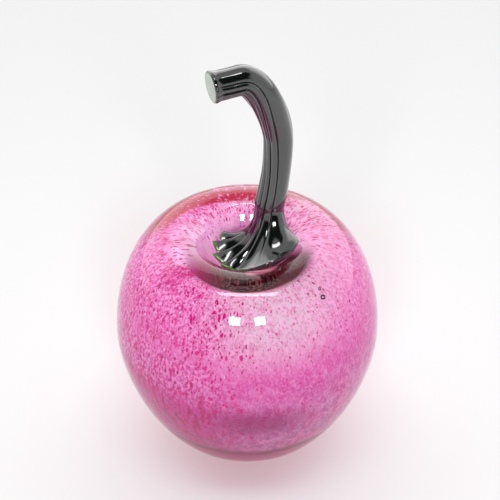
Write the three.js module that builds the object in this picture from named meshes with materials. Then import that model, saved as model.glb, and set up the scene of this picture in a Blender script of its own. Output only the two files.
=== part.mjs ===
// A blown glass cherry: a hollow pink body in three coats of glass, with a dimple on top,
// and a dark green ribbed stem whose foot lies in the dimple and closes the blow hole.
// Millimetres, +Z up, origin at the middle of the flat base.

import * as THREE from 'three';
import { mergeVertices } from 'three/addons/utils/BufferGeometryUtils.js';

const { degToRad, lerp, smoothstep } = THREE.MathUtils;
const QUARTER_TURN = Math.PI / 2;

// Outside of the clear casing
const BODY_RADIUS = 50;
const EQUATOR_HEIGHT = 52.4;
const BASE_RADIUS = 18.5;
const CREST_RADIUS = 26;
const CREST_HEIGHT = 95.4;
const LIP_RADIUS = 11;
const DIMPLE_WALL_ANGLE = degToRad(57);
const LOWER_FULLNESS = 1.63;

// Colour layer: near the surface on the sides, deep under the crest and over the base
const COLOUR_RADIUS = 45.5;
const COLOUR_BASE_RADIUS = 10;
const COLOUR_BASE_HEIGHT = 10;
const COLOUR_CREST_RADIUS = 27;
const COLOUR_CREST_HEIGHT = 85.7;
const COLOUR_LIP_RADIUS = 4.5;
const COLOUR_WALL_ANGLE = degToRad(66);
const COLOUR_THICKNESS = 0.8;

// Inner bubble, and the blow hole through all three coats
const BUBBLE_THICKNESS = 3.2;
const BLOW_HOLE_RADIUS = 5;
const FUSION_GAP = 0.05;

// Centreline of the stem, in one upright plane through the middle of its foot.
// Each point is a reach from the foot towards the tip, and a height above the base.
const FOOT_CENTRE = new THREE.Vector2(2.6, 1.3);
const STEM_PLANE_ANGLE = degToRad(22);
const STEM_WAIST = new THREE.Vector2(-6.1, 106);
const WAIST_HANDLE = new THREE.Vector2(-1.9, 9);
const STEM_BACK = new THREE.Vector2(-9.3, 133);
const BACK_HANDLE = new THREE.Vector2(0, 10.7);
const STEM_TOP = new THREE.Vector2(5.6, 161.9);
const TOP_HANDLE = new THREE.Vector2(6.4, -0.4);
const STEM_TIP = new THREE.Vector2(16.2, 161.4);

// Radius of the stem at shares of its length from the waist to the tip, with a neck before the tip
const STEM_RADII = [[0, 5.7], [0.2, 5.35], [0.4, 5.6], [0.68, 5.95], [0.92, 5.45], [1, 5.8]];
const TIP_EDGE_ROUND = 0.8;
const SHEAR_TILT = degToRad(12);
const SHEAR_LENGTH = 0.15;

// Ribs of the stem, given by the angles of the grooves between them at the foot
const GROOVE_ANGLES = [52, 114, 142, 167, 194, 218, 250, 345].map(degToRad);
const GROOVE_DEPTH = 0.22;
const RIB_ROUNDNESS = 0.4;

// Turn of the ribs about the centreline, in degrees, at shares of its length
const STEM_TURNS = [[0, 5], [0.45, -7], [0.9, 40], [1, 44]];

// Foot of the stem: the ribs splay into ragged toes on one side and melt into a pad on the other.
// It is round, but for the short side at the back, where it hardly reaches beyond the stem.
const FOOT_RADIUS = 15.8;
const FOOT_SHORT_RADIUS = 7.8;
const FOOT_SHORT_SIDE = degToRad(65);
const FLARE_SHARPNESS = 2.3;
const FRONT_SHARPNESS = 1.5;
const FRONT_ANGLE = degToRad(275);
const FRONT_LIMITS = [0.3, 0.9];
const PAD_THICKNESS = 2.6;
const TOE_THICKNESS = 1.7;
const TOE_NOTCH = 0.17;
const TOE_CORNER = 0.15;
const TOE_GROOVE = 1.3;
const TOE_SIDE_ANGLE = degToRad(180);
const TOE_SIDE_WIDTH = 0.6;
const EDGE_BULGE = 1.025;
const EDGE_BULGE_HEIGHT = 0.25;
const SEAT_GAP = 0.3;
const UNDERSIDE_SHARES = [0.97, 0.7, 0.4];

// Facets
const BODY_SEGMENTS = 36;
const OUTSIDE_STEPS = { curve: 9, arc: 5 };
const INSIDE_STEPS = { curve: 6, arc: 3 };
const STEPS_PER_RIB = 7;
const TUBE_RINGS = 22;
const FLARE_RINGS = 10;

const outerSurface = {
  radius: BODY_RADIUS,
  baseRadius: BASE_RADIUS,
  baseHeight: 0,
  crestRadius: CREST_RADIUS,
  crestHeight: CREST_HEIGHT,
  lipRadius: LIP_RADIUS,
  wallAngle: DIMPLE_WALL_ANGLE,
  steps: OUTSIDE_STEPS,
};

const colourSurface = {
  radius: COLOUR_RADIUS,
  baseRadius: COLOUR_BASE_RADIUS,
  baseHeight: COLOUR_BASE_HEIGHT,
  crestRadius: COLOUR_CREST_RADIUS,
  crestHeight: COLOUR_CREST_HEIGHT,
  lipRadius: COLOUR_LIP_RADIUS,
  wallAngle: COLOUR_WALL_ANGLE,
  steps: INSIDE_STEPS,
};

// The same surface, moved into the glass by a depth
function sunk(surface, depth) {
  return {
    ...surface,
    radius: surface.radius - depth,
    baseHeight: surface.baseHeight + depth,
    crestHeight: surface.crestHeight - depth,
    lipRadius: surface.lipRadius - depth,
  };
}

// The dimple is two tangent arcs: the round lip inside the crest, then the bowl down to the axis
function dimpleArcs({ crestRadius, crestHeight, lipRadius, wallAngle }) {
  const lipEndRadius = crestRadius - lipRadius * Math.sin(wallAngle);
  const lipEndHeight = crestHeight - lipRadius * (1 - Math.cos(wallAngle));
  const bowlRadius = lipEndRadius / Math.sin(wallAngle);
  const bowlCentreHeight = lipEndHeight + bowlRadius * Math.cos(wallAngle);
  return { lipEndRadius, bowlRadius, bowlCentreHeight };
}

// Height of the dimple's bowl at a distance from the axis
function bowlHeight(surface, distance) {
  const { bowlRadius, bowlCentreHeight } = dimpleArcs(surface);
  return bowlCentreHeight - Math.sqrt(bowlRadius ** 2 - distance ** 2);
}

// Height of the dimple at a distance from the axis, in the bowl or on the lip
function dimpleHeight(surface, distance) {
  const { crestRadius, crestHeight, lipRadius } = surface;
  if (distance <= dimpleArcs(surface).lipEndRadius) {
    return bowlHeight(surface, distance);
  }
  return crestHeight - lipRadius + Math.sqrt(lipRadius ** 2 - (crestRadius - distance) ** 2);
}

// Lower half of an outline, from the edge of the base out to the equator
function lowerCurve({ radius, baseRadius, baseHeight, steps }) {
  const points = [];
  for (let step = 0; step <= steps.curve; step += 1) {
    const turn = (step / steps.curve) * QUARTER_TURN;
    const out = Math.sin(turn) ** (2 / LOWER_FULLNESS);
    const down = Math.cos(turn) ** (2 / LOWER_FULLNESS);
    points.push(new THREE.Vector2(lerp(baseRadius, radius, out), lerp(EQUATOR_HEIGHT, baseHeight, down)));
  }
  return points;
}

// Shoulder of an outline, from the equator up to the crest
function shoulderCurve({ radius, crestRadius, crestHeight, steps }) {
  const points = [];
  for (let step = 1; step <= steps.curve; step += 1) {
    const turn = (step / steps.curve) * QUARTER_TURN;
    const out = Math.cos(turn);
    const up = Math.sin(turn);
    points.push(new THREE.Vector2(lerp(crestRadius, radius, out), lerp(EQUATOR_HEIGHT, crestHeight, up)));
  }
  return points;
}

// Dimple of an outline, from the crest over the lip and down the bowl to the blow hole
function dimpleCurve(surface) {
  const { crestRadius, crestHeight, lipRadius, wallAngle, steps } = surface;
  const { lipEndRadius } = dimpleArcs(surface);
  const points = [];
  for (let step = 1; step <= steps.arc; step += 1) {
    const turn = (step / steps.arc) * wallAngle;
    const distance = crestRadius - lipRadius * Math.sin(turn);
    points.push(new THREE.Vector2(distance, crestHeight - lipRadius * (1 - Math.cos(turn))));
  }
  for (let step = 1; step <= steps.arc; step += 1) {
    const distance = lerp(lipEndRadius, BLOW_HOLE_RADIUS, step / steps.arc);
    points.push(new THREE.Vector2(distance, bowlHeight(surface, distance)));
  }
  return points;
}

// Half outline of one surface, from the axis at the base to the edge of the blow hole
function surfaceOutline(surface) {
  const start = new THREE.Vector2(0, surface.baseHeight);
  return [start, ...lowerCurve(surface), ...shoulderCurve(surface), ...dimpleCurve(surface)];
}

// One coat of glass between two surfaces, open at the blow hole
function coat(outside, inside) {
  const outline = [...surfaceOutline(outside), ...surfaceOutline(inside).reverse()];
  const geometry = new THREE.LatheGeometry(outline, BODY_SEGMENTS);
  geometry.rotateX(QUARTER_TURN);
  geometry.deleteAttribute('normal');
  geometry.deleteAttribute('uv');
  return mergeVertices(geometry);
}

// Centreline of the stem: it leans back as it rises, bends over in a crook and ends level
function stemCentreline() {
  const centreline = new THREE.CurvePath();
  centreline.add(new THREE.CubicBezierCurve(
    STEM_WAIST,
    STEM_WAIST.clone().add(WAIST_HANDLE),
    STEM_BACK.clone().sub(BACK_HANDLE),
    STEM_BACK,
  ));
  centreline.add(new THREE.CubicBezierCurve(
    STEM_BACK,
    STEM_BACK.clone().add(BACK_HANDLE),
    STEM_TOP.clone().sub(TOP_HANDLE),
    STEM_TOP,
  ));
  centreline.add(new THREE.LineCurve(STEM_TOP, STEM_TIP));
  return centreline;
}

// Value at a share of the stem's length, smooth between marks that each hold a share and a value
function readAlong(marks, share) {
  const next = marks.findIndex(([place], index) => index > 0 && place >= share);
  const [startPlace, startValue] = marks[next - 1];
  const [endPlace, endValue] = marks[next];
  return lerp(startValue, endValue, smoothstep(share, startPlace, endPlace));
}

// The points round one ring, closest together in the grooves: an angle, how far across its rib
// the point lies, and how proud the rib stands there, from 0 in a groove to 1 on top
function ribMarks() {
  const marks = [];
  GROOVE_ANGLES.forEach((start, rib) => {
    const next = GROOVE_ANGLES[rib + 1] ?? GROOVE_ANGLES[0] + 2 * Math.PI;
    for (let step = 0; step < STEPS_PER_RIB; step += 1) {
      const across = (1 - Math.cos((Math.PI * step) / STEPS_PER_RIB)) / 2;
      const proud = (4 * across * (1 - across)) ** RIB_ROUNDNESS;
      marks.push({ angle: lerp(start, next, across), across, proud });
    }
  });
  return marks;
}

// One ring round the centreline, shrunk by a scale and leaned back by the tilt of the sheared tip
function stemRing(centreline, marks, share, scale = 1, tilt = 0) {
  const centre = centreline.getPointAt(share);
  const along = centreline.getTangentAt(share);
  const twist = degToRad(readAlong(STEM_TURNS, share));
  const forward = new THREE.Vector2(-Math.cos(STEM_PLANE_ANGLE), -Math.sin(STEM_PLANE_ANGLE));
  return marks.map(({ angle, proud }) => {
    const radius = scale * readAlong(STEM_RADII, share) * (1 - GROOVE_DEPTH * (1 - proud));
    const outward = radius * Math.cos(angle + twist);
    const sideways = radius * Math.sin(angle + twist);
    const setBack = outward * Math.tan(tilt);
    const reach = centre.x - outward * along.y - setBack * along.x;
    const height = centre.y + outward * along.x - setBack * along.y;
    const x = FOOT_CENTRE.x + reach * forward.x + sideways * forward.y;
    const y = FOOT_CENTRE.y + reach * forward.y - sideways * forward.x;
    return new THREE.Vector3(x, y, height);
  });
}

// 1 on the side where the ribs splay into toes, 0 on the side of the smooth pad
function toeShare(direction) {
  return smoothstep(Math.cos(direction - TOE_SIDE_ANGLE), 0, TOE_SIDE_WIDTH);
}

// How much a toe is cut back: its corner stands out near one groove, and its end slants to the next
function toeCut(across) {
  return across < TOE_CORNER ? 1 - across / TOE_CORNER : (across - TOE_CORNER) / (1 - TOE_CORNER);
}

// Reach of the foot in one direction: half a circle, closed by half an ellipse on the short side
function footReach(direction) {
  const turn = direction - FOOT_SHORT_SIDE;
  const depth = Math.cos(turn) > 0 ? FOOT_SHORT_RADIUS : FOOT_RADIUS;
  return 1 / Math.hypot(Math.sin(turn) / FOOT_RADIUS, Math.cos(turn) / depth);
}

// A point over the dimple, at a share of the foot's reach and a rise above the glass
function footPoint({ angle, across }, share, rise) {
  const direction = angle + STEM_PLANE_ANGLE;
  const notch = TOE_NOTCH * toeShare(direction) * toeCut(across);
  const reach = share * footReach(direction) * (1 - notch);
  const x = FOOT_CENTRE.x + reach * Math.cos(direction);
  const y = FOOT_CENTRE.y + reach * Math.sin(direction);
  return new THREE.Vector3(x, y, dimpleHeight(outerSurface, Math.hypot(x, y)) + SEAT_GAP + rise);
}

// Thickness of the foot at its edge
function footThickness({ angle }) {
  return lerp(PAD_THICKNESS, TOE_THICKNESS, toeShare(angle + STEM_PLANE_ANGLE));
}

// How sharply the flare turns outwards: soft in front, where the stem runs out into the foot
function flareSharpness({ angle }) {
  const front = smoothstep(Math.cos(angle + STEM_PLANE_ANGLE - FRONT_ANGLE), ...FRONT_LIMITS);
  return lerp(FLARE_SHARPNESS, FRONT_SHARPNESS, front);
}

// Rings of the flare, from the waist down and out to the edge of the foot, grooved between the toes
function flareRings(waistRing, marks) {
  const rings = [];
  for (let step = 1; step <= FLARE_RINGS; step += 1) {
    const turn = (step / FLARE_RINGS) * QUARTER_TURN;
    rings.push(marks.map((mark, index) => {
      const sharpness = flareSharpness(mark);
      const out = 1 - Math.max(Math.cos(turn), 0) ** (2 / sharpness);
      const down = Math.sin(turn) ** (2 / sharpness);
      const waist = waistRing[index];
      const edge = footPoint(mark, 1, footThickness(mark));
      const groove = TOE_GROOVE * toeShare(mark.angle + STEM_PLANE_ANGLE) * (1 - mark.proud);
      return new THREE.Vector3(
        lerp(waist.x, edge.x, out),
        lerp(waist.y, edge.y, out),
        lerp(waist.z, edge.z, down) - groove * down,
      );
    }));
  }
  return rings;
}

// Round edge of the foot and its underside, which follows the dimple
function footRings(marks) {
  const edge = marks.map((mark) => footPoint(mark, EDGE_BULGE, EDGE_BULGE_HEIGHT * footThickness(mark)));
  const underside = UNDERSIDE_SHARES.map((share) => marks.map((mark) => footPoint(mark, share, 0)));
  return [edge, ...underside];
}

// Closes a stack of equal rings into one solid, with a centre point at each end
function solidFromRings(rings, firstCentre, lastCentre) {
  const count = rings[0].length;
  const points = [...rings.flat(), firstCentre, lastCentre];
  const firstIndex = points.length - 2;
  const lastIndex = points.length - 1;
  const lastRing = (rings.length - 1) * count;
  const faces = [];
  for (let side = 0; side < count; side += 1) {
    const next = (side + 1) % count;
    faces.push(firstIndex, side, next);
    faces.push(lastIndex, lastRing + next, lastRing + side);
    for (let ring = 0; ring < rings.length - 1; ring += 1) {
      const above = ring * count;
      const below = above + count;
      faces.push(above + side, below + side, below + next);
      faces.push(above + side, below + next, above + next);
    }
  }
  const geometry = new THREE.BufferGeometry().setFromPoints(points);
  geometry.setIndex(faces);
  return geometry;
}

function averagePoint(ring) {
  const sum = ring.reduce((total, point) => total.add(point), new THREE.Vector3());
  return sum.divideScalar(ring.length);
}

// The stem in one piece, from the sheared tip down to the underside of its foot
function stemGeometry() {
  const centreline = stemCentreline();
  const marks = ribMarks();
  const edgeShare = 1 - TIP_EDGE_ROUND / centreline.getLength();
  const faceScale = 1 - TIP_EDGE_ROUND / readAlong(STEM_RADII, 1);
  const rings = [stemRing(centreline, marks, 1, faceScale, SHEAR_TILT)];
  for (let step = 0; step <= TUBE_RINGS; step += 1) {
    const share = edgeShare * (1 - step / TUBE_RINGS);
    const tilt = SHEAR_TILT * smoothstep(share, edgeShare - SHEAR_LENGTH, edgeShare);
    rings.push(stemRing(centreline, marks, share, 1, tilt));
  }
  const waistRing = rings.at(-1);
  rings.push(...flareRings(waistRing, marks), ...footRings(marks));
  return solidFromRings(rings, averagePoint(rings[0]), averagePoint(rings.at(-1)));
}

function namedMesh(name, geometry, look) {
  const mesh = new THREE.Mesh(geometry, new THREE.MeshStandardMaterial(look));
  mesh.name = name;
  return mesh;
}

const clearLook = { color: 0xf3e3ea, roughness: 0.03, metalness: 0, transparent: true, opacity: 0.3 };
const pinkLook = { color: 0xd463a8, roughness: 0.25, metalness: 0 };
const greenLook = { color: 0x0b1711, roughness: 0.05, metalness: 0 };

const casingInside = sunk(colourSurface, -FUSION_GAP);
const colourInside = sunk(colourSurface, COLOUR_THICKNESS);
const bubbleOutside = sunk(colourInside, FUSION_GAP);
const bubbleInside = sunk(bubbleOutside, BUBBLE_THICKNESS);

const cherry = new THREE.Group();
cherry.add(namedMesh('clear_casing', coat(outerSurface, casingInside), clearLook));
cherry.add(namedMesh('colour_layer', coat(colourSurface, colourInside), pinkLook));
cherry.add(namedMesh('inner_bubble', coat(bubbleOutside, bubbleInside), clearLook));
cherry.add(namedMesh('stem', stemGeometry(), greenLook));

export default cherry;
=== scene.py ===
"""Looks of a blown glass cherry: speckled pink body under a clear casing, and a dark green ribbed stem.

Sizes are in millimetres, and are turned into metres where a mesh, a lamp or the camera is made.
"""

import math
from collections import namedtuple

import bpy
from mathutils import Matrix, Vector
from mathutils.geometry import interpolate_bezier


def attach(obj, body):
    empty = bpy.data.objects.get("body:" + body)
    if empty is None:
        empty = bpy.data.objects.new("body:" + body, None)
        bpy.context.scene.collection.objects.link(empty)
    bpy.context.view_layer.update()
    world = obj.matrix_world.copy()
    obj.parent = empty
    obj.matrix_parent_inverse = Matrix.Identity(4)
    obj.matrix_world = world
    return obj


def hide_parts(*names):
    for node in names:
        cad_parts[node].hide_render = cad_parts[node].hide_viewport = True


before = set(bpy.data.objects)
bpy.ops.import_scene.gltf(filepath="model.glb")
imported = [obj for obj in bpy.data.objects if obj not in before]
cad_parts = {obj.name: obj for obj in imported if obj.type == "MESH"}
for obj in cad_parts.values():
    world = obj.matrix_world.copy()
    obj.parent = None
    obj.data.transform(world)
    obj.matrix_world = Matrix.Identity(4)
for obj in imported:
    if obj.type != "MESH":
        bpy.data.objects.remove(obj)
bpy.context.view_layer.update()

MM = 0.001
QUARTER_TURN = math.pi / 2
FULL_TURN = 2 * math.pi

# Body: the same turned surfaces as in the solids, with finer steps
EQUATOR_HEIGHT = 52.4
LOWER_FULLNESS = 1.63
CURVE_STEPS = 48
ARC_STEPS = 24
BODY_SEGMENTS = 192

Surface = namedtuple(
    "Surface", "radius base_radius base_height crest_radius crest_height lip_radius wall_angle"
)
OUTER_SURFACE = Surface(50.0, 18.5, 0.0, 26.0, 95.4, 11.0, math.radians(57))
COLOUR_SURFACE = Surface(45.5, 10.0, 10.0, 27.0, 85.7, 4.5, math.radians(66))

# Air bubbles in the casing: azimuth from +X, height, distance from the axis, and radius
AirBubble = namedtuple("AirBubble", "azimuth height distance radius")
AIR_BUBBLES = [
    AirBubble(math.radians(-45.0), 86.8, 37.5, 0.95),
    AirBubble(math.radians(-44.3), 89.1, 35.5, 0.6),
]
BUBBLE_SEGMENTS = 24
BUBBLE_RINGS = 12

# A bubble's wall is clear near this direction, and painted dark in the belt where the cosine to it is below
# a limit: painted shade for the light that the wall turns back
BUBBLE_FACING = Vector((0.19, -0.69, 0.7)).normalized()
BUBBLE_RING_LIMIT = 0.75

# Centreline of the stem: reach from the middle of its foot towards the tip, and height
FOOT_CENTRE = Vector((2.6, 1.3))
STEM_PLANE_ANGLE = math.radians(22)
STEM_WAIST = Vector((-6.1, 106.0))
WAIST_HANDLE = Vector((-1.9, 9.0))
STEM_BACK = Vector((-9.3, 133.0))
BACK_HANDLE = Vector((0.0, 10.7))
STEM_TOP = Vector((5.6, 161.9))
TOP_HANDLE = Vector((6.4, -0.4))
STEM_TIP = Vector((16.2, 161.4))
PATH_STEPS = 160

# Radius of the stem at shares of its length, and the sheared tip with its low collar
STEM_RADII = [
    (0.0, 5.7),
    (0.2, 5.35),
    (0.4, 5.6),
    (0.68, 5.95),
    (0.9, 5.45),
    (0.965, 5.5),
    (0.99, 5.9),
]
TIP_EDGE_ROUND = 0.8
TIP_SMOOTHING = (0.95, 0.985)
TIP_GROOVE_SHARE = 0.3
TIP_FACE_SHARES = [0.3, 0.6, 0.85]

# Ribs of the stem, given by the angles of the grooves between them at the foot
GROOVE_ANGLES = [math.radians(angle) for angle in (52, 114, 142, 167, 194, 218, 250, 345)]
GROOVE_DEPTH = 0.22
RIB_ROUNDNESS = 0.4

# Turn of the ribs about the centreline at shares of its length
STEM_TURNS = [
    (0.0, math.radians(5)),
    (0.45, math.radians(-7)),
    (0.9, math.radians(40)),
    (1.0, math.radians(44)),
]

# Foot of the stem: ragged toes on one side, a smooth pad on the other
FOOT_RADIUS = 15.8
FOOT_SHORT_RADIUS = 7.8
FOOT_SHORT_SIDE = math.radians(65)
FLARE_SHARPNESS = 2.3
FRONT_SHARPNESS = 1.5
FRONT_ANGLE = math.radians(275)
FRONT_LIMITS = (0.3, 0.9)
PAD_THICKNESS = 2.6
PAD_FULLNESS = 0.12
PAD_FULL_ANGLE = math.radians(-48)
PAD_FULL_LIMITS = (0.55, 1.0)
TOE_THICKNESS = 1.7
TOE_NOTCH = 0.17
TOE_CORNER = 0.15
TOE_GROOVE = 1.3
TOE_SIDE_ANGLE = math.radians(180)
TOE_SIDE_WIDTH = 0.6
EDGE_BULGE = 0.025
SEAT_GAP = 0.3
UNDERSIDE_SHARES = [0.97, 0.7, 0.4]

# Part of the flare, as shares of its way to the edge, over which the glass of the toes thins out
THIN_LIMITS = (0.955, 1.0)

# Steps of the stem's mesh
STEPS_PER_RIB = 24
TUBE_RINGS = 110
FLARE_RINGS = 40
ROUND_RINGS = 6

# Camera
TARGET_HEIGHT = EQUATOR_HEIGHT
VIEW_ELEVATION = math.radians(41)
VIEW_DISTANCE = 600.0
AIM_RIGHT = 1.08
AIM_UP = 27.5
SENSOR_WIDTH = 36.0
FOCAL_LENGTH = 112.3

# Levels of the tent: pale, brighter low at the back, with a dark slot in front
TENT_LEVEL = 0.97
TOP_LEVEL = 0.95
BACK_LEVEL = 2.1
HIGH_BACK_LEVEL = 0.8
SLOT_LEVEL = 0.02
LOW_FRONT_LEVEL = 0.95

# Fades between the parts of the tent, along the parts of a direction of length 1
SLOT_SIDE = (0.85, 0.68)
SLOT_TOP = (0.95, 0.88)
SLOT_BOTTOM = (-0.02, 0.06)
BELOW_SLOT = (0.06, -0.02)
FRONT_SIDE = (0.05, -0.1)
BACK_SIDE = (0.2, 0.45)
BACK_TOP = (0.78, 0.66)
HIGH_BACK_TOP = (0.98, 0.9)
TOP_START = (0.85, 0.95)
TENT_WHITE = (1.0, 1.0, 1.0, 1.0)

# Lamps: two small ones in the slot, and a long one above
LAMP_DISTANCE = 1600.0
Lamp = namedtuple("Lamp", "azimuth elevation width height level")
LAMPS = [
    Lamp(math.radians(-12.5), math.radians(34), 244.0, 280.0, 37.0),
    Lamp(math.radians(12.5), math.radians(34), 244.0, 280.0, 37.0),
    Lamp(0.0, math.radians(81), 1050.0, 190.0, 9.5),
]

# Floor
FLOOR_SIZE = 6000.0
FLOOR_NEAR_EDGE = -430.0
FLOOR_GAP = 0.2
FLOOR_COLOUR = (0.73, 0.73, 0.73, 1.0)
FLOOR_ROUGHNESS = 0.9

# Clear glass: its own colour, the tint that grows with thickness, and low waves on its surface
GLASS_WHITE = (1.0, 0.985, 0.99, 1.0)
GLASS_IOR = 1.5
TINT = (0.67, 0.13, 0.40, 1.0)
TINT_DENSITY = 15.0
WAVE_SIZE = 16.0
WAVE_STRENGTH = 0.05
WAVE_DEPTH = 0.5
# Painted shade on the belt of an air bubble's wall
RING_SHADE = (0.03, 0.004, 0.01, 1.0)
NOISE_DETAIL = 2.0

# Green glass: its colours, its gloss, and the lines drawn along the stem
BOTTLE_GREEN = (0.002, 0.004, 0.003, 1.0)
THIN_GREEN = (0.06, 0.14, 0.002, 1.0)
SHEARED_GREEN = (0.17, 0.19, 0.17, 1.0)
CORE_GREEN = (0.16, 0.33, 0.13, 1.0)
STEM_ROUGHNESS = 0.1
STEM_COAT_ROUGHNESS = 0.03
STEM_COAT_IOR = 1.65
STEM_SHEEN = 0.15
STEM_SHEEN_ROUGHNESS = 0.3
LINES_ROUND = 60.0
LINES_ALONG = 3.0
LINE_STRENGTH = 0.1
LINE_DEPTH = 0.3

# Colours of the pink glass
PALE_PINK = (0.66, 0.54, 0.61, 1.0)
FULL_PINK = (0.69, 0.085, 0.40, 1.0)
# Painted shade, darker towards the bottom of the body
LOW_SHADE_MAUVE = (0.37, 0.045, 0.225, 1.0)
BLOTCH_MAUVE = (0.26, 0.004, 0.12, 1.0)
BASE_PINK = (0.50, 0.015, 0.17, 1.0)
BASE_MAROON = (0.22, 0.008, 0.05, 1.0)
# Painted shade for the near wall of the bowl and the ground under the foot
SHADE_MAROON = (0.045, 0.014, 0.017, 1.0)
RIM_RED = (0.43, 0.006, 0.048, 1.0)
RIM_SALMON = (0.42, 0.115, 0.16, 1.0)
LILAC_WHITE = (0.94, 0.50, 0.84, 1.0)
# Painted light: lilac to pink in the bowl, lighter than the rest for the light that falls into the bowl
LIT_BOWL_LILAC = (1.0, 0.70, 1.0, 1.0)
LIT_BOWL_PINK = (0.96, 0.46, 0.76, 1.0)
# Red and brown specks in the painted shade of the near wall and under the foot, and a pink patch in it
BAND_RED = (0.45, 0.04, 0.11, 1.0)
BAND_BROWN = (0.38, 0.15, 0.13, 1.0)
BAND_PINK = (0.95, 0.40, 0.52, 1.0)
PASSING_PINK = (0.85, 0.08, 0.42, 1.0)
DEEP_MAGENTA = (0.58, 0.01, 0.22, 1.0)
BOWL_MAGENTA = (0.84, 0.12, 0.70, 1.0)
GRAIN_MAGENTA = (0.40, 0.004, 0.12, 1.0)
STREAK_MAGENTA = (0.40, 0.0, 0.11, 1.0)
PINK_ROUGHNESS = 0.6

# Regions of the colour: where each fades from 0 to 1, along X, Y, Z or the distance from the axis
RIGHT_X = (-22.0, 8.0)
UPPER_Z = (62.0, 83.0)
LOW_Z = (62.0, 44.0)
ABOVE_Z = (50.0, 55.0)
NEAR_Y = (0.0, -8.0)
BOWL_DISTANCE = (26.0, 22.0)
FAR_BOWL_Y = (4.0, 12.0)
SPECKLED_BACK_Y = (-4.0, 8.0)

# How much of the outside's pattern the bowl keeps out, and how strongly the back is speckled
BOWL_HOLD = 0.9
SPECKLED_BACK_SHARE = 0.75

# A cluster of grains beside the air bubbles: its centre, and the distance from it over which it fades in
CLUSTER_CENTRE = (21.5, -20.5, 85.0)
CLUSTER_DISTANCE = (6.0, 4.0)

# A belt of values: it starts and is full at the first two, falls and ends at the last two
Belt = namedtuple("Belt", "start full fall end")
MIDDLE_BELT = Belt(46.0, 54.0, 64.0, 76.0)

# Powder: a pale patch high on the right, mauve painted shade that darkens it low down, and the bowl with its
# lip, painted lighter for the light that falls into it
PALE_MIDDLE_X = 9.0
PALE_ASIDE = (34.0, 5.0)
LOW_SHADE_Z = (80.0, 25.0)
LIT_BOWL_DISTANCE = (29.5, 25.0)
LIT_BOWL_Y = (-20.0, -6.0)

# Random shifts that make edges ragged: size of the noise, and how far it moves a place
Wobble = namedtuple("Wobble", "size amount")
GRAIN_WOBBLE = Wobble(1.6, 0.8)
SMEAR_WOBBLE = Wobble(3.0, 6.0)
BASE_WOBBLE = Wobble(5.0, 3.0)
PATCH_WOBBLE = Wobble(2.0, 3.0)

# Specks from noise: its size, and the values of the noise between which they fade in
Specks = namedtuple("Specks", "size low high")
SMEAR_SPECKS = Specks(1.0, 0.36, 0.56)
SALMON_SPECKS = Specks(2.5, 0.25, 0.5)
RED_SPECKS = Specks(1.1, 0.28, 0.46)
WALL_SPECKS = Specks(1.0, 0.46, 0.62)
UNDER_FOOT_SPECKS = Specks(1.4, 0.46, 0.64)
TIP_SPECKS = Specks(4.0, 0.35, 0.65)

# Oval spots: centre and half size along X, the same along the other direction, and the fade from the centre
Oval = namedtuple("Oval", "x half_width other half_height fade")
BLOTCH = Oval(4.0, 15.0, 43.0, 7.5, (1.6, 0.3))
BLOTCH_STRENGTH = 0.75
SMEAR = Oval(-19.0, 6.5, -11.5, 3.0, (1.3, 0.5))

# Far shoulder: a salmon ring, and inside it a red one that ends on the right
FAR_Y = (4.0, 16.0)
SHOULDER_Z = (60.0, 66.0)
SALMON_BELT = Belt(32.4, 33.6, 34.5, 39.0)
RED_BELT = Belt(29.5, 30.5, 33.4, 34.6)
RED_X = (24.0, 4.0)

# Base: a deep pink end, with a maroon line over it
BASE_Z = (24.0, 18.0)
BASE_STRENGTH = 0.82
BASE_LINE_BELT = Belt(18.5, 21.5, 22.5, 25.5)
BASE_LINE_STRENGTH = 0.85

# Painted shade on the near wall of the bowl and on the ground under the foot, where the foot shades them:
# dark, with specks squeezed along Y and Z
WALL_X = (-25.0, -16.0)
WALL_SHADE_X = (-20.0, -8.0)
UNDER_FOOT_DISTANCE = (17.0, 13.5)
UNDER_FOOT_Y = (10.0, 4.0)
UNDER_FOOT_X = (-12.0, -5.0)
WALL_SPECK_SQUEEZE = (1.2, 6.0, 6.0)

# A pink patch in the painted shade of the near wall
PATCH_MIDDLE_X = 8.5
PATCH_ASIDE = (8.5, 5.5)
PATCH_Y = (-11.6, -13.2)

# Clouds in the colour: size, stretch along the meridian, fade limits of the noise, region, strength, colour
Cloud = namedtuple("Cloud", "size stretch low high region strength colour")
CLOUDS = [
    Cloud(9.0, 1.3, 0.46, 0.62, "low_right", 0.6, DEEP_MAGENTA),
    Cloud(4.5, 1.5, 0.47, 0.6, "speckled", 0.6, DEEP_MAGENTA),
    Cloud(2.2, 2.0, 0.5, 0.66, "outside", 0.35, DEEP_MAGENTA),
    Cloud(1.3, 1.5, 0.42, 0.62, "upper", 0.32, LILAC_WHITE),
    Cloud(0.8, 1.2, 0.46, 0.6, "upper", 0.5, LILAC_WHITE),
    Cloud(0.9, 1.4, 0.5, 0.62, "shoulders", 0.4, DEEP_MAGENTA),
    Cloud(2.6, 1.8, 0.46, 0.7, "lower_right", 0.17, LILAC_WHITE),
    Cloud(0.8, 1.5, 0.46, 0.64, "lower_right", 0.22, LILAC_WHITE),
    Cloud(0.9, 1.6, 0.42, 0.6, "mid_left", 0.38, LILAC_WHITE),
    Cloud(3.0, 1.5, 0.35, 0.6, "low_right", 0.18, LILAC_WHITE),
    Cloud(6.0, 2.0, 0.4, 0.6, "low_left", 0.3, DEEP_MAGENTA),
    Cloud(1.8, 5.0, 0.52, 0.58, "low_left", 0.85, STREAK_MAGENTA),
]

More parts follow.
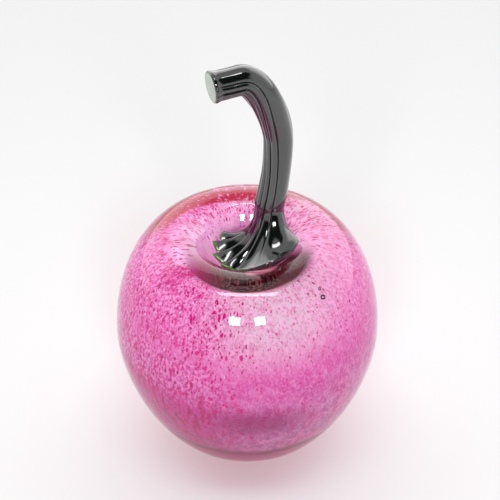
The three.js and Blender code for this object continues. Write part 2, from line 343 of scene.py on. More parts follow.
# Grains in the colour: size of a cell, share of filled cells, reach in the cell, region, strength, colour
Grains = namedtuple("Grains", "size share reach region strength colour")
GRAINS = [
    Grains(1.0, 0.45, 0.44, "upper_left", 0.6, LILAC_WHITE),
    Grains(1.2, 0.7, 0.48, "speckled", 1.0, DEEP_MAGENTA),
    Grains(1.8, 0.45, 0.48, "speckled", 1.0, DEEP_MAGENTA),
    Grains(1.5, 0.35, 0.42, "speckled", 1.0, GRAIN_MAGENTA),
    Grains(0.9, 0.4, 0.44, "speckled", 1.0, GRAIN_MAGENTA),
    Grains(0.95, 0.28, 0.42, "upper_left", 0.9, LILAC_WHITE),
    Grains(1.0, 0.3, 0.36, "outside_right", 0.7, GRAIN_MAGENTA),
    Grains(1.6, 0.35, 0.32, "outside_right", 0.8, DEEP_MAGENTA),
    Grains(1.7, 0.4, 0.28, "outside", 0.85, GRAIN_MAGENTA),
    Grains(1.9, 0.95, 0.4, "cluster", 0.95, GRAIN_MAGENTA),
    Grains(1.4, 0.6, 0.48, "far_bowl", 0.95, BOWL_MAGENTA),
    Grains(1.0, 0.4, 0.4, "bowl", 0.25, BOWL_MAGENTA),
]

# Stretch of the grains along the meridian, and the share of their reach in which their edge fades
GRAIN_STRETCH = 1.6
GRAIN_EDGE = 1 / 3

# Regions in which the grains keep their round shape, because the glass wasn't drawn out there
ROUND_GRAIN_REGIONS = ("bowl", "far_bowl")


def lerp(start, end, share):
    return start + (end - start) * share


def smoothstep(value, low, high):
    share = min(max((value - low) / (high - low), 0.0), 1.0)
    return share * share * (3 - 2 * share)


def shares(count):
    """Even shares of a whole, without the start."""
    return [step / count for step in range(1, count + 1)]


def dimple_arcs(surface):
    """The dimple is two tangent arcs: the round lip inside the crest, then the bowl down to the axis."""
    lip_end_radius = surface.crest_radius - surface.lip_radius * math.sin(surface.wall_angle)
    lip_end_height = surface.crest_height - surface.lip_radius * (1 - math.cos(surface.wall_angle))
    bowl_radius = lip_end_radius / math.sin(surface.wall_angle)
    bowl_centre_height = lip_end_height + bowl_radius * math.cos(surface.wall_angle)
    return lip_end_radius, bowl_radius, bowl_centre_height


def bowl_height(surface, distance):
    _, bowl_radius, bowl_centre_height = dimple_arcs(surface)
    return bowl_centre_height - math.sqrt(bowl_radius**2 - distance**2)


def dimple_height(surface, distance):
    """Height of the dimple at a distance from the axis, in the bowl or on the lip."""
    if distance <= dimple_arcs(surface)[0]:
        return bowl_height(surface, distance)
    lip_rise = math.sqrt(surface.lip_radius**2 - (surface.crest_radius - distance) ** 2)
    return surface.crest_height - surface.lip_radius + lip_rise


def half_outline(surface):
    """Radius and height of a surface, from the axis at the base round to the axis in the dimple."""
    points = [(0.0, surface.base_height), (surface.base_radius, surface.base_height)]
    for share in shares(CURVE_STEPS):
        out = math.sin(share * QUARTER_TURN) ** (2 / LOWER_FULLNESS)
        down = max(math.cos(share * QUARTER_TURN), 0.0) ** (2 / LOWER_FULLNESS)
        radius = lerp(surface.base_radius, surface.radius, out)
        points.append((radius, lerp(EQUATOR_HEIGHT, surface.base_height, down)))
    for share in shares(CURVE_STEPS):
        radius = lerp(surface.crest_radius, surface.radius, math.cos(share * QUARTER_TURN))
        points.append((radius, lerp(EQUATOR_HEIGHT, surface.crest_height, math.sin(share * QUARTER_TURN))))
    for share in shares(ARC_STEPS):
        turn = share * surface.wall_angle
        radius = surface.crest_radius - surface.lip_radius * math.sin(turn)
        points.append((radius, surface.crest_height - surface.lip_radius * (1 - math.cos(turn))))
    lip_end_radius = dimple_arcs(surface)[0]
    for share in shares(ARC_STEPS):
        radius = lerp(lip_end_radius, 0.0, share)
        points.append((radius, bowl_height(surface, radius)))
    return points


def skin_from_rings(rings, first_centre, last_centre):
    """Points and faces of a closed skin through equal rings, with a centre point at each end."""
    count = len(rings[0])
    points = [point for ring in rings for point in ring] + [first_centre, last_centre]
    first_index = len(points) - 2
    last_index = len(points) - 1
    last_ring = (len(rings) - 1) * count
    faces = []
    for side in range(count):
        following = (side + 1) % count
        faces.append((first_index, following, side))
        faces.append((last_index, last_ring + side, last_ring + following))
        for ring in range(len(rings) - 1):
            lower = ring * count
            upper = lower + count
            faces.append((lower + side, lower + following, upper + following, upper + side))
    return points, faces


def turned_skin(outline, segments):
    """A skin turned about Z from an outline that starts and ends on the axis."""
    directions = [FULL_TURN * segment / segments for segment in range(segments)]
    rings = []
    for radius, height in outline[1:-1]:
        rings.append([(radius * math.cos(a), radius * math.sin(a), height) for a in directions])
    return skin_from_rings(rings, (0.0, 0.0, outline[0][1]), (0.0, 0.0, outline[-1][1]))


def ball_outline(radius):
    turns = [math.pi * ring / BUBBLE_RINGS for ring in range(BUBBLE_RINGS + 1)]
    return [(radius * math.sin(turn), -radius * math.cos(turn)) for turn in turns]


def add_air_bubble(points, faces, bubble):
    """Adds a small ball that faces inwards, so that it is a void in the glass."""
    ball_points, ball_faces = turned_skin(ball_outline(bubble.radius), BUBBLE_SEGMENTS)
    centre = Vector((
        bubble.distance * math.cos(bubble.azimuth),
        bubble.distance * math.sin(bubble.azimuth),
        bubble.height,
    ))
    turn = Vector((0.0, 0.0, 1.0)).rotation_difference(BUBBLE_FACING)
    start = len(points)
    points.extend(tuple(turn @ Vector(point) + centre) for point in ball_points)
    faces.extend(tuple(start + index for index in reversed(face)) for face in ball_faces)


def mesh_piece(name, points, faces, material, node):
    """A smooth mesh that stands for one node of the frame."""
    mesh = bpy.data.meshes.new(name)
    mesh.from_pydata([tuple(MM * value for value in point) for point in points], [], faces)
    mesh.polygons.foreach_set("use_smooth", [True] * len(mesh.polygons))
    mesh.materials.append(material)
    piece = bpy.data.objects.new(name, mesh)
    bpy.context.scene.collection.objects.link(piece)
    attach(piece, "root")
    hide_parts(node)
    return piece


class Path:
    """The stem's centreline, read by share of its length."""

    def __init__(self):
        points = self.bend(STEM_WAIST, WAIST_HANDLE, STEM_BACK, BACK_HANDLE)
        points += self.bend(STEM_BACK, BACK_HANDLE, STEM_TOP, TOP_HANDLE)[1:]
        points.append(STEM_TIP)
        self.points = points
        self.lengths = [0.0]
        for before, after in zip(points, points[1:]):
            self.lengths.append(self.lengths[-1] + (after - before).length)

    @staticmethod
    def bend(start, start_handle, end, end_handle):
        return interpolate_bezier(start, start + start_handle, end - end_handle, end, PATH_STEPS)

    @property
    def length(self):
        return self.lengths[-1]

    def at(self, share):
        """Point of the centreline, and the direction in which it runs there."""
        wanted = share * self.length
        step = 1
        while step < len(self.lengths) - 1 and self.lengths[step] < wanted:
            step += 1
        before, after = self.points[step - 1], self.points[step]
        part = (wanted - self.lengths[step - 1]) / (self.lengths[step] - self.lengths[step - 1])
        return before.lerp(after, part), (after - before).normalized()


def read_along(marks, share):
    """Value at a share of the stem's length, smooth between the marks given as (share, value)."""
    for (start, start_value), (end, end_value) in zip(marks, marks[1:]):
        if share <= end:
            return lerp(start_value, end_value, smoothstep(share, start, end))
    return marks[-1][1]


def stem_radius(share):
    return read_along(STEM_RADII, share)


Mark = namedtuple("Mark", "angle across proud")


def rib_marks():
    """Points round one ring: angle, place across the rib, and how proud the rib stands there."""
    marks = []
    ends = GROOVE_ANGLES[1:] + [GROOVE_ANGLES[0] + FULL_TURN]
    for start, end in zip(GROOVE_ANGLES, ends):
        for step in range(STEPS_PER_RIB):
            across = (1 - math.cos(math.pi * step / STEPS_PER_RIB)) / 2
            proud = (4 * across * (1 - across)) ** RIB_ROUNDNESS
            marks.append(Mark(lerp(start, end, across), across, proud))
    return marks


def stem_ring(path, marks, share, scale=1.0):
    """One ring square to the centreline, shrunk by a scale."""
    centre, along = path.at(share)
    twist = read_along(STEM_TURNS, share)
    forward = (-math.cos(STEM_PLANE_ANGLE), -math.sin(STEM_PLANE_ANGLE))
    depth = GROOVE_DEPTH * lerp(1.0, TIP_GROOVE_SHARE, smoothstep(share, *TIP_SMOOTHING))
    ring = []
    for mark in marks:
        radius = scale * stem_radius(share) * (1 - depth * (1 - mark.proud))
        outward = radius * math.cos(mark.angle + twist)
        sideways = radius * math.sin(mark.angle + twist)
        reach = centre.x - outward * along.y
        height = centre.y + outward * along.x
        x = FOOT_CENTRE.x + reach * forward[0] + sideways * forward[1]
        y = FOOT_CENTRE.y + reach * forward[1] - sideways * forward[0]
        ring.append((x, y, height))
    return ring


def toe_share(mark):
    """1 on the side of the toes, 0 on the side of the pad."""
    direction = mark.angle + STEM_PLANE_ANGLE
    return smoothstep(math.cos(direction - TOE_SIDE_ANGLE), 0.0, TOE_SIDE_WIDTH)


def toe_cut(across):
    """How much a toe is cut back: its corner stands out near one groove, and its end slants to the next."""
    if across < TOE_CORNER:
        return 1 - across / TOE_CORNER
    return (across - TOE_CORNER) / (1 - TOE_CORNER)


def foot_point(mark, share, rise):
    """A point over the dimple, at a share of the foot's reach and a rise above the bowl."""
    direction = mark.angle + STEM_PLANE_ANGLE
    turn = direction - FOOT_SHORT_SIDE
    depth = FOOT_SHORT_RADIUS if math.cos(turn) > 0 else FOOT_RADIUS
    reach = 1 / math.hypot(math.sin(turn) / FOOT_RADIUS, math.cos(turn) / depth)
    reach *= share * (1 - TOE_NOTCH * toe_share(mark) * toe_cut(mark.across))
    reach *= 1 + PAD_FULLNESS * smoothstep(math.cos(direction - PAD_FULL_ANGLE), *PAD_FULL_LIMITS)
    x = FOOT_CENTRE.x + reach * math.cos(direction)
    y = FOOT_CENTRE.y + reach * math.sin(direction)
    return x, y, dimple_height(OUTER_SURFACE, math.hypot(x, y)) + SEAT_GAP + rise


def foot_thickness(mark):
    return lerp(PAD_THICKNESS, TOE_THICKNESS, toe_share(mark))


def flare_sharpness(mark):
    """How sharply the flare turns outwards: soft in front, where the stem runs out into the foot."""
    direction = mark.angle + STEM_PLANE_ANGLE
    front = smoothstep(math.cos(direction - FRONT_ANGLE), *FRONT_LIMITS)
    return lerp(FLARE_SHARPNESS, FRONT_SHARPNESS, front)


def flare_ring(waist_ring, marks, share):
    """A ring of the flare, at a share of the way from the waist to the edge of the foot."""
    turn = share * QUARTER_TURN
    ring = []
    for mark, waist in zip(marks, waist_ring):
        sharpness = flare_sharpness(mark)
        out = 1 - max(math.cos(turn), 0.0) ** (2 / sharpness)
        down = math.sin(turn) ** (2 / sharpness)
        edge = foot_point(mark, 1.0, foot_thickness(mark))
        groove = TOE_GROOVE * toe_share(mark) * (1 - mark.proud)
        x = lerp(waist[0], edge[0], out)
        y = lerp(waist[1], edge[1], out)
        ring.append((x, y, lerp(waist[2], edge[2], down) - groove * down))
    return ring


def edge_ring(marks, share):
    """A ring round the edge of the foot, at a share of the way from its top down to its underside."""
    reach = lerp(1.0, UNDERSIDE_SHARES[0], share) + EDGE_BULGE * math.sin(share * math.pi)
    return [foot_point(mark, reach, foot_thickness(mark) * (1 - share)) for mark in marks]


def average_point(ring):
    return tuple(sum(values) / len(ring) for values in zip(*ring))


def stem_rings(path, marks):
    """Rings from the middle of the sheared face to the underside of the foot, each with its thinness."""
    edge_share = 1 - TIP_EDGE_ROUND / path.length
    face_scale = 1 - TIP_EDGE_ROUND / stem_radius(1.0)
    rings = []
    for share in TIP_FACE_SHARES:
        rings.append((stem_ring(path, marks, 1.0, face_scale * share), 0.0))
    for share in [0.0] + shares(ROUND_RINGS):
        place = lerp(edge_share, 1.0, math.cos(share * QUARTER_TURN))
        scale = lerp(face_scale, 1.0, math.sin(share * QUARTER_TURN))
        rings.append((stem_ring(path, marks, place, scale), 0.0))
    for share in shares(TUBE_RINGS):
        rings.append((stem_ring(path, marks, edge_share * (1 - share)), 0.0))
    waist_ring = rings[-1][0]
    for share in shares(FLARE_RINGS):
        rings.append((flare_ring(waist_ring, marks, share), smoothstep(share, *THIN_LIMITS)))
    for share in shares(ROUND_RINGS):
        rings.append((edge_ring(marks, share), 1.0))
    for share in UNDERSIDE_SHARES[1:]:
        rings.append(([foot_point(mark, share, 0.0) for mark in marks], 0.0))
    return rings


class Graph:
    """Adds nodes to one node tree and links them."""

    def __init__(self, tree):
        self.tree = tree

    def feed(self, socket, value):
        if isinstance(value, bpy.types.NodeSocket):
            self.tree.links.new(value, socket)
        else:
            socket.default_value = value

    def node(self, kind, inputs=None, **settings):
        node = self.tree.nodes.new(kind)
        for name, value in settings.items():
            setattr(node, name, value)
        for name, value in (inputs or {}).items():
            self.feed(node.inputs[name], value)
        return node

    def math(self, operation, first, second=0.0):
        return self.node("ShaderNodeMath", {0: first, 1: second}, operation=operation).outputs[0]

    def product(self, first, *others):
        """The values multiplied together."""
        for other in others:
            first = self.math("MULTIPLY", first, other)
        return first

    def rest(self, value):
        """What a share leaves of the whole."""
        return self.math("SUBTRACT", 1.0, value)

    def aside(self, value, middle):
        """How far a value is from a middle one, on either side."""
        return self.math("ABSOLUTE", self.math("SUBTRACT", value, middle))

    def vector_math(self, operation, first, second=(0.0, 0.0, 0.0)):
        return self.node("ShaderNodeVectorMath", {0: first, 1: second}, operation=operation).outputs

    def scaled(self, vector, amount):
        inputs = {0: vector, "Scale": amount}
        return self.node("ShaderNodeVectorMath", inputs, operation="SCALE").outputs["Vector"]

    def split(self, vector):
        return self.node("ShaderNodeSeparateXYZ", {0: vector}).outputs

    def join(self, x=0.0, y=0.0, z=0.0):
        return self.node("ShaderNodeCombineXYZ", {0: x, 1: y, 2: z}).outputs[0]

    def fade(self, value, low, high):
        """0 up to the low value, 1 from the high one, smooth between; high may be the smaller."""
        node = self.node("ShaderNodeMapRange", {"Value": value}, interpolation_type="SMOOTHSTEP")
        self.feed(node.inputs["From Min"], low)
        self.feed(node.inputs["From Max"], high)
        return node.outputs["Result"]

    def between(self, value, belt):
        """1 in a belt of values, fading to 0 at its ends."""
        return self.product(self.fade(value, belt.start, belt.full), self.fade(value, belt.end, belt.fall))

    def mix(self, share, first, second):
        """Colour between two others, at a share of the way; the colour sockets are 6, 7 and 2."""
        node = self.node("ShaderNodeMix", data_type="RGBA")
        self.feed(node.inputs["Factor"], share)
        self.feed(node.inputs[6], first)
        self.feed(node.inputs[7], second)
        return node.outputs[2]

    def blend(self, share, first, second):
        """Number between two others, at a share of the way; the number sockets are 2, 3 and 0."""
        node = self.node("ShaderNodeMix", {0: share, 2: first, 3: second}, data_type="FLOAT")
        return node.outputs[0]

    def noise(self, vector, size):
        inputs = {"Vector": vector, "Scale": 1 / size, "Detail": NOISE_DETAIL}
        return self.node("ShaderNodeTexNoise", inputs).outputs

    def specks(self, vector, kind):
        """Patches where the noise is high; the kind gives its size and the limits of the fade."""
        return self.fade(self.noise(vector, kind.size)["Fac"], kind.low, kind.high)

    def bump(self, strength, depth, height):
        inputs = {"Strength": strength, "Distance": depth * MM, "Height": height}
        return self.node("ShaderNodeBump", inputs).outputs["Normal"]


def new_material(name):
    material = bpy.data.materials.new(name)
    material.use_nodes = True
    graph = Graph(material.node_tree)
    shader = material.node_tree.nodes["Principled BSDF"]
    return material, graph, shader


def place_in_mm(graph):
    place = graph.node("ShaderNodeTexCoord").outputs["Object"]
    return graph.scaled(place, 1 / MM)


def show_through(material, graph, share, shader, through):
    """Makes the surface a mix of the shader and a transparent one that light passes."""
    inputs = {0: share, 1: shader.outputs["BSDF"], 2: through.outputs["BSDF"]}
    both = graph.node("ShaderNodeMixShader", inputs)
    output = material.node_tree.nodes["Material Output"]
    graph.feed(output.inputs["Surface"], both.outputs["Shader"])
    return output


def clear_glass():
    """Fire-polished clear glass that lets light through to the colour without caustic noise."""
    material, graph, shader = new_material("clear_glass")
    shader.inputs["Base Color"].default_value = GLASS_WHITE
    shader.inputs["Roughness"].default_value = 0.0
    shader.inputs["IOR"].default_value = GLASS_IOR
    shader.inputs["Transmission Weight"].default_value = 1.0
    waves = graph.noise(place_in_mm(graph), WAVE_SIZE)["Fac"]
    graph.feed(shader.inputs["Normal"], graph.bump(WAVE_STRENGTH, WAVE_DEPTH, waves))
    light = graph.node("ShaderNodeLightPath").outputs
    passing = graph.math("MAXIMUM", light["Is Shadow Ray"], light["Is Diffuse Ray"])
    through = graph.node("ShaderNodeBsdfTransparent")
    output = show_through(material, graph, passing, shader, through)
    tint = graph.node("ShaderNodeVolumeAbsorption", {"Color": TINT, "Density": TINT_DENSITY})
    graph.feed(output.inputs["Volume"], tint.outputs["Volume"])
    return material


def bubble_ring():
    """The belt of an air bubble's wall, painted dark: painted shade for the light that the wall turns back.
    """
    material, _, shader = new_material("bubble_ring")
    shader.inputs["Base Color"].default_value = RING_SHADE
    shader.inputs["Specular IOR Level"].default_value = 0.0
    return material


Place = namedtuple("Place", "vector level x y z distance")


def read_place(graph, vector):
    """A place with its parts, its level part and its distance from the axis."""
    parts = graph.split(vector)
    level = graph.join(parts["X"], parts["Y"])
    distance = graph.vector_math("LENGTH", level)["Value"]
    return Place(vector, level, parts["X"], parts["Y"], parts["Z"], distance)


def wobbled(graph, place, wobble):
    """The place moved about at random, so that grains and patches get ragged edges."""
    shift = graph.scaled(graph.noise(place.vector, wobble.size)["Color"], wobble.amount)
    return read_place(graph, graph.vector_math("ADD", place.vector, shift)["Vector"])


def flow_coordinates(graph, place, stretch):
    """Place on the body as drawn out in blowing: round the axis, and along the meridian, which is stretched.

    Round the axis the pattern is squeezed towards the poles, by the square root of the distance."""
    squeeze = graph.math("SQRT", graph.math("DIVIDE", COLOUR_SURFACE.radius, place.distance))
    around = graph.scaled(place.level, squeeze)
    latitude = graph.math("ARCTAN2", graph.math("SUBTRACT", place.z, EQUATOR_HEIGHT), place.distance)
    along = graph.math("MULTIPLY", latitude, COLOUR_SURFACE.radius / stretch)
    return graph.vector_math("ADD", around, graph.join(z=along))["Vector"]


def grains(graph, vector, layer, share):
    """Grains of colour: a share of the cells hold one, of half to all of the layer's reach."""
    cells = graph.node("ShaderNodeTexVoronoi", {"Vector": vector, "Scale": 1 / layer.size}).outputs
    chances = graph.node("ShaderNodeSeparateColor", {0: cells["Color"]}).outputs
    filled = graph.math("LESS_THAN", chances["Red"], share)
    room = graph.product(graph.math("ADD", chances["Green"], 1.0), layer.reach / 2)
    inside = graph.math("SUBTRACT", room, cells["Distance"])
    return graph.product(graph.fade(inside, 0.0, layer.reach * GRAIN_EDGE), filled)


def oval_spot(graph, x, other, oval):
    """1 in an oval spot, fading to 0 outside it."""
    across = graph.math("DIVIDE", graph.math("SUBTRACT", x, oval.x), oval.half_width)
    up = graph.math("DIVIDE", graph.math("SUBTRACT", other, oval.other), oval.half_height)
    from_centre = graph.vector_math("LENGTH", graph.join(across, up))["Value"]
    return graph.fade(from_centre, *oval.fade)


def colour_regions(graph, place):
    """How far a place belongs to each region of the colour, by the region's name."""
    right = graph.fade(place.x, *RIGHT_X)
    left = graph.rest(right)
    upper = graph.fade(place.z, *UPPER_Z)
    low = graph.fade(place.z, *LOW_Z)
    above = graph.fade(place.z, *ABOVE_Z)
    bowl = graph.product(graph.fade(place.distance, *BOWL_DISTANCE), above)
    outside = graph.rest(graph.product(bowl, BOWL_HOLD))
    behind = graph.product(graph.fade(place.y, *SPECKLED_BACK_Y), SPECKLED_BACK_SHARE)
    from_cluster = graph.vector_math("DISTANCE", place.vector, CLUSTER_CENTRE)["Value"]
    return {
        "above": above,
        "bowl": bowl,
        "cluster": graph.fade(from_cluster, *CLUSTER_DISTANCE),
        "far_bowl": graph.product(bowl, graph.fade(place.y, *FAR_BOWL_Y)),
        "low_left": graph.product(left, low),
        "low_right": graph.product(right, low),
        "lower_right": graph.product(right, graph.rest(upper)),
        "mid_left": graph.product(left, graph.between(place.z, MIDDLE_BELT)),
        "near": graph.fade(place.y, *NEAR_Y),
        "outside": outside,
        "outside_right": graph.product(right, outside),
        "right": right,
        "shoulders": graph.product(upper, outside),
        "speckled": graph.product(graph.math("MAXIMUM", left, behind), outside),
        "upper": upper,
        "upper_left": graph.product(left, upper),
    }


def paint_powder(graph, place, regions):
    """The powder without grains: pale high on the right, mauve painted shade low down, and lilac to pink in
    the bowl, painted lighter for the light that falls into it.
    """
    pale = graph.product(graph.fade(graph.aside(place.x, PALE_MIDDLE_X), *PALE_ASIDE), regions["upper"])
    colour = graph.mix(pale, FULL_PINK, PALE_PINK)
    # Painted shade: mauve that grows towards the bottom
    colour = graph.mix(graph.fade(place.z, *LOW_SHADE_Z), colour, LOW_SHADE_MAUVE)
    # Painted light in the bowl and on its lip: lilac on the left to pink on the right
    top = graph.product(
        graph.fade(place.distance, *LIT_BOWL_DISTANCE), regions["above"], graph.fade(place.y, *LIT_BOWL_Y)
    )
    return graph.mix(top, colour, graph.mix(regions["right"], LIT_BOWL_LILAC, LIT_BOWL_PINK))


def paint_clouds(graph, colour, ragged, regions):
    """Soft patches and streaks, drawn out along the meridian."""
    for cloud in CLOUDS:
        flow = flow_coordinates(graph, ragged, cloud.stretch)
        share = graph.product(graph.specks(flow, cloud), regions[cloud.region], cloud.strength)
        colour = graph.mix(share, colour, cloud.colour)
    return colour


def paint_grains(graph, colour, ragged, regions):
    """Layers of single grains."""
    flow = flow_coordinates(graph, ragged, GRAIN_STRETCH)
    for layer in GRAINS:
        vector = ragged.vector if layer.region in ROUND_GRAIN_REGIONS else flow
        filled = grains(graph, vector, layer, graph.product(regions[layer.region], layer.share))
        colour = graph.mix(graph.product(filled, layer.strength), colour, layer.colour)
    return colour


def paint_spots(graph, colour, place, ragged, regions):
    """A mauve blotch low in front, and a crumbly magenta smear on the left of the lip."""
    blotch = oval_spot(graph, place.x, place.z, BLOTCH)
    colour = graph.mix(graph.product(blotch, regions["near"], BLOTCH_STRENGTH), colour, BLOTCH_MAUVE)
    moved = wobbled(graph, place, SMEAR_WOBBLE)
    smear = oval_spot(graph, moved.x, moved.y, SMEAR)
    crumbs = graph.specks(ragged.vector, SMEAR_SPECKS)
    return graph.mix(graph.product(smear, regions["upper"], crumbs), colour, DEEP_MAGENTA)


def paint_rim(graph, colour, place, ragged):
    """The salmon and red rings on the far shoulder."""
    shoulder = graph.product(graph.fade(place.y, *FAR_Y), graph.fade(place.z, *SHOULDER_Z))
    streaks = graph.specks(ragged.vector, SALMON_SPECKS)
    salmon = graph.product(graph.between(place.distance, SALMON_BELT), shoulder, streaks)
    colour = graph.mix(salmon, colour, RIM_SALMON)
    crumbs = graph.specks(ragged.vector, RED_SPECKS)
    red = graph.product(graph.between(place.distance, RED_BELT), graph.fade(place.x, *RED_X), crumbs)
    return graph.mix(graph.product(red, shoulder), colour, RIM_RED)


def paint_base(graph, colour, place):
    """The deep pink end, and the maroon line over it."""
    height = wobbled(graph, place, BASE_WOBBLE).z
    base = graph.product(graph.fade(height, *BASE_Z), BASE_STRENGTH)
    colour = graph.mix(base, colour, BASE_PINK)
    line = graph.product(graph.between(height, BASE_LINE_BELT), BASE_LINE_STRENGTH)
    return graph.mix(line, colour, BASE_MAROON)


def paint_wall_and_foot_shade(graph, colour, place, ragged, regions):
    """Painted shade on the near wall of the bowl and on the ground under the foot, which the lip shows as a
    dark band.
    """
    squeezed = graph.vector_math("MULTIPLY", ragged.vector, WALL_SPECK_SQUEEZE)["Vector"]
    # Painted shade on the near wall: dark maroon with red specks, going over to deep magenta at its left end
    wall = graph.mix(graph.specks(squeezed, WALL_SPECKS), SHADE_MAROON, BAND_RED)
    wall = graph.mix(graph.fade(place.x, *WALL_SHADE_X), DEEP_MAGENTA, wall)
    shaded_wall = graph.product(regions["near"], regions["bowl"], graph.fade(place.x, *WALL_X))
    colour = graph.mix(shaded_wall, colour, wall)
    # Painted shadow of the foot on the ground under it: dark maroon with brown specks
    foot_shadow = graph.mix(graph.specks(squeezed, UNDER_FOOT_SPECKS), SHADE_MAROON, BAND_BROWN)
    shadow_under_foot = graph.product(
        regions["bowl"],
        graph.fade(place.distance, *UNDER_FOOT_DISTANCE),
        graph.fade(place.y, *UNDER_FOOT_Y),
        graph.fade(place.x, *UNDER_FOOT_X),
    )
    return graph.mix(shadow_under_foot, colour, foot_shadow)


def paint_patch(graph, colour, place, regions):
    """A pink patch in the painted shade of the near wall, right of the middle."""
    aside = graph.aside(wobbled(graph, place, PATCH_WOBBLE).x, PATCH_MIDDLE_X)
    patch = graph.product(graph.fade(aside, *PATCH_ASIDE), graph.fade(place.y, *PATCH_Y), regions["bowl"])
    return graph.mix(patch, colour, BAND_PINK)


def pink_glass():
    """Pink powder with darker grains, denser on the left and deeper towards the base, with painted shade low
    down, on the near wall of the bowl and under the foot, and painted light in the bowl.
    """
    material, graph, shader = new_material("pink_glass")
    place = read_place(graph, place_in_mm(graph))
    ragged = wobbled(graph, place, GRAIN_WOBBLE)
    regions = colour_regions(graph, place)
    colour = paint_powder(graph, place, regions)
    colour = paint_clouds(graph, colour, ragged, regions)
    colour = paint_grains(graph, colour, ragged, regions)
    colour = paint_spots(graph, colour, place, ragged, regions)
    colour = paint_rim(graph, colour, place, ragged)
    colour = paint_base(graph, colour, place)
    colour = paint_wall_and_foot_shade(graph, colour, place, ragged, regions)
    colour = paint_patch(graph, colour, place, regions)
    graph.feed(shader.inputs["Base Color"], colour)
    shader.inputs["Roughness"].default_value = PINK_ROUGHNESS
    shader.inputs["Specular IOR Level"].default_value = 0.0
    shadow_ray = graph.node("ShaderNodeLightPath").outputs["Is Shadow Ray"]
    through = graph.node("ShaderNodeBsdfTransparent", {"Color": PASSING_PINK})
    show_through(material, graph, shadow_ray, shader, through)
    return material


def green_glass():
    """Nearly opaque dark green glass, yellow-green where it is thin and pale on the sheared face."""
    material, graph, shader = new_material("green_glass")
    thin = graph.node("ShaderNodeAttribute", attribute_name="thinness").outputs["Fac"]
    sheared = graph.node("ShaderNodeAttribute", attribute_name="sheared").outputs["Fac"]
    face = graph.mix(graph.specks(place_in_mm(graph), TIP_SPECKS), SHEARED_GREEN, CORE_GREEN)
    colour = graph.mix(thin, BOTTLE_GREEN, THIN_GREEN)
    graph.feed(shader.inputs["Base Color"], graph.mix(sheared, colour, face))
    shader.inputs["Roughness"].default_value = STEM_ROUGHNESS
    shader.inputs["Coat Weight"].default_value = 1.0
    shader.inputs["Coat Roughness"].default_value = STEM_COAT_ROUGHNESS
    shader.inputs["Coat IOR"].default_value = STEM_COAT_IOR
    shader.inputs["Sheen Weight"].default_value = STEM_SHEEN
    shader.inputs["Sheen Roughness"].default_value = STEM_SHEEN_ROUGHNESS
    drawn = graph.node("ShaderNodeUVMap", uv_map="drawn").outputs["UV"]
    lines = graph.noise(drawn, 1.0)["Fac"]
    graph.feed(shader.inputs["Normal"], graph.bump(LINE_STRENGTH, LINE_DEPTH, lines))
    return material


def make_casing(glass):
    points, faces = turned_skin(half_outline(OUTER_SURFACE), BODY_SEGMENTS)
    outside_count = len(faces)
    for bubble in AIR_BUBBLES:
        add_air_bubble(points, faces, bubble)
    casing = mesh_piece("casing", points, faces, glass, "clear_casing")
    casing.data.materials.append(bubble_ring())
    # The belt of each air bubble's wall gets the painted shade of the ring
    for face in casing.data.polygons[outside_count:]:
        if abs(face.normal.dot(BUBBLE_FACING)) < BUBBLE_RING_LIMIT:
            face.material_index = 1


def make_colour():
    points, faces = turned_skin(half_outline(COLOUR_SURFACE), BODY_SEGMENTS)
    mesh_piece("colour", points, faces, pink_glass(), "colour_layer")


def dress_bubble(glass):
    """The inner bubble stays as it is in the solids, and only gets the glass."""
    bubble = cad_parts["inner_bubble"]
    bubble.material_slots[0].material = glass


def mark_points(mesh, name, values):
    attribute = mesh.attributes.new(name, "FLOAT", "POINT")
    attribute.data.foreach_set("value", values)


def add_drawn_map(mesh, count, ring_count):
    """A map whose first direction goes round the stem and whose second goes along it."""
    layer = mesh.uv_layers.new(name="drawn")
    for loop in mesh.loops:
        ring, side = divmod(loop.vertex_index, count)
        layer.data[loop.index].uv = (LINES_ROUND * side / count, LINES_ALONG * ring / ring_count)


def make_stem():
    """The stem, with its thin toes and its sheared face marked; the two centre points come last."""
    marks = rib_marks()
    marked_rings = stem_rings(Path(), marks)[::-1]
    rings = [ring for ring, _ in marked_rings]
    points, faces = skin_from_rings(rings, average_point(rings[0]), average_point(rings[-1]))
    stem = mesh_piece("green_stem", points, faces, green_glass(), "stem")
    thinness = [thin * toe_share(mark) for _, thin in marked_rings for mark in marks]
    mark_points(stem.data, "thinness", thinness + [0.0, 0.0])
    face_points = (len(TIP_FACE_SHARES) + 1) * len(marks)
    other_points = len(rings) * len(marks) - face_points
    mark_points(stem.data, "sheared", [0.0] * other_points + [1.0] * face_points + [0.0, 1.0])
    add_drawn_map(stem.data, len(marks), len(rings))


def make_camera():
    ahead = Vector((0.0, math.cos(VIEW_ELEVATION), -math.sin(VIEW_ELEVATION)))
    image_up = Vector((0.0, math.sin(VIEW_ELEVATION), math.cos(VIEW_ELEVATION)))
    target = Vector((0.0, 0.0, TARGET_HEIGHT))
    eye = target - VIEW_DISTANCE * ahead
    aim = target + Vector((AIM_RIGHT, 0.0, 0.0)) + AIM_UP * image_up
    camera = bpy.data.objects.new("camera", bpy.data.cameras.new("camera"))
    camera.data.sensor_width = SENSOR_WIDTH
    camera.data.lens = FOCAL_LENGTH
    camera.location = eye * MM
    camera.rotation_euler = (aim - eye).to_track_quat("-Z", "Y").to_euler()
    bpy.context.scene.collection.objects.link(camera)
    bpy.context.scene.camera = camera


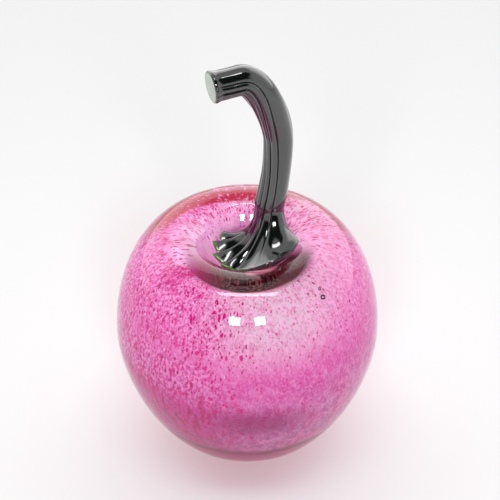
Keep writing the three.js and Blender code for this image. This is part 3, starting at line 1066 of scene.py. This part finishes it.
def make_tent():
    """The world: a pale tent, brighter low at the back, with a dark slot in front."""
    world = bpy.data.worlds.new("tent")
    world.use_nodes = True
    bpy.context.scene.world = world
    graph = Graph(world.node_tree)
    parts = graph.split(graph.node("ShaderNodeTexCoord").outputs["Generated"])
    up = parts["Z"]
    front = graph.fade(parts["Y"], *FRONT_SIDE)
    slot_width = graph.fade(graph.aside(parts["X"], 0.0), *SLOT_SIDE)
    slot = graph.product(front, slot_width, graph.fade(up, *SLOT_TOP), graph.fade(up, *SLOT_BOTTOM))
    back = graph.fade(parts["Y"], *BACK_SIDE)
    level = graph.blend(graph.fade(up, *TOP_START), TENT_LEVEL, TOP_LEVEL)
    level = graph.blend(graph.product(back, graph.fade(up, *HIGH_BACK_TOP)), level, HIGH_BACK_LEVEL)
    level = graph.blend(graph.product(back, graph.fade(up, *BACK_TOP)), level, BACK_LEVEL)
    level = graph.blend(graph.product(front, graph.fade(up, *BELOW_SLOT)), level, LOW_FRONT_LEVEL)
    level = graph.blend(slot, level, SLOT_LEVEL)
    background = world.node_tree.nodes["Background"]
    background.inputs["Color"].default_value = TENT_WHITE
    graph.feed(background.inputs["Strength"], level)


def make_lamp(lamp):
    """A rectangular lamp that faces the body; its azimuth is counted from the viewer's side."""
    target = Vector((0.0, 0.0, TARGET_HEIGHT))
    direction = Vector((
        math.sin(lamp.azimuth) * math.cos(lamp.elevation),
        -math.cos(lamp.azimuth) * math.cos(lamp.elevation),
        math.sin(lamp.elevation),
    ))
    data = bpy.data.lights.new("lamp", "AREA")
    data.shape = "RECTANGLE"
    data.size = lamp.width * MM
    data.size_y = lamp.height * MM
    data.energy = lamp.level * math.pi * data.size * data.size_y
    holder = bpy.data.objects.new("lamp", data)
    holder.location = (target + LAMP_DISTANCE * direction) * MM
    holder.rotation_euler = (-direction).to_track_quat("-Z", "Y").to_euler()
    bpy.context.scene.collection.objects.link(holder)


def make_floor():
    material, _, shader = new_material("floor")
    shader.inputs["Base Color"].default_value = FLOOR_COLOUR
    shader.inputs["Roughness"].default_value = FLOOR_ROUGHNESS
    shader.inputs["Specular IOR Level"].default_value = 0.0
    half = FLOOR_SIZE * MM / 2
    height = -FLOOR_GAP * MM
    near = FLOOR_NEAR_EDGE * MM
    corners = [(-half, near, height), (half, near, height), (half, half, height), (-half, half, height)]
    mesh = bpy.data.meshes.new("floor")
    mesh.from_pydata(corners, [], [(0, 1, 2, 3)])
    mesh.materials.append(material)
    floor = bpy.data.objects.new("floor", mesh)
    bpy.context.scene.collection.objects.link(floor)


bpy.context.scene.view_settings.view_transform = "Standard"
make_camera()
casing_glass = clear_glass()
make_casing(casing_glass)
make_colour()
dress_bubble(casing_glass)
make_stem()
make_tent()
for lamp in LAMPS:
    make_lamp(lamp)
make_floor()

bpy.context.view_layer.update()
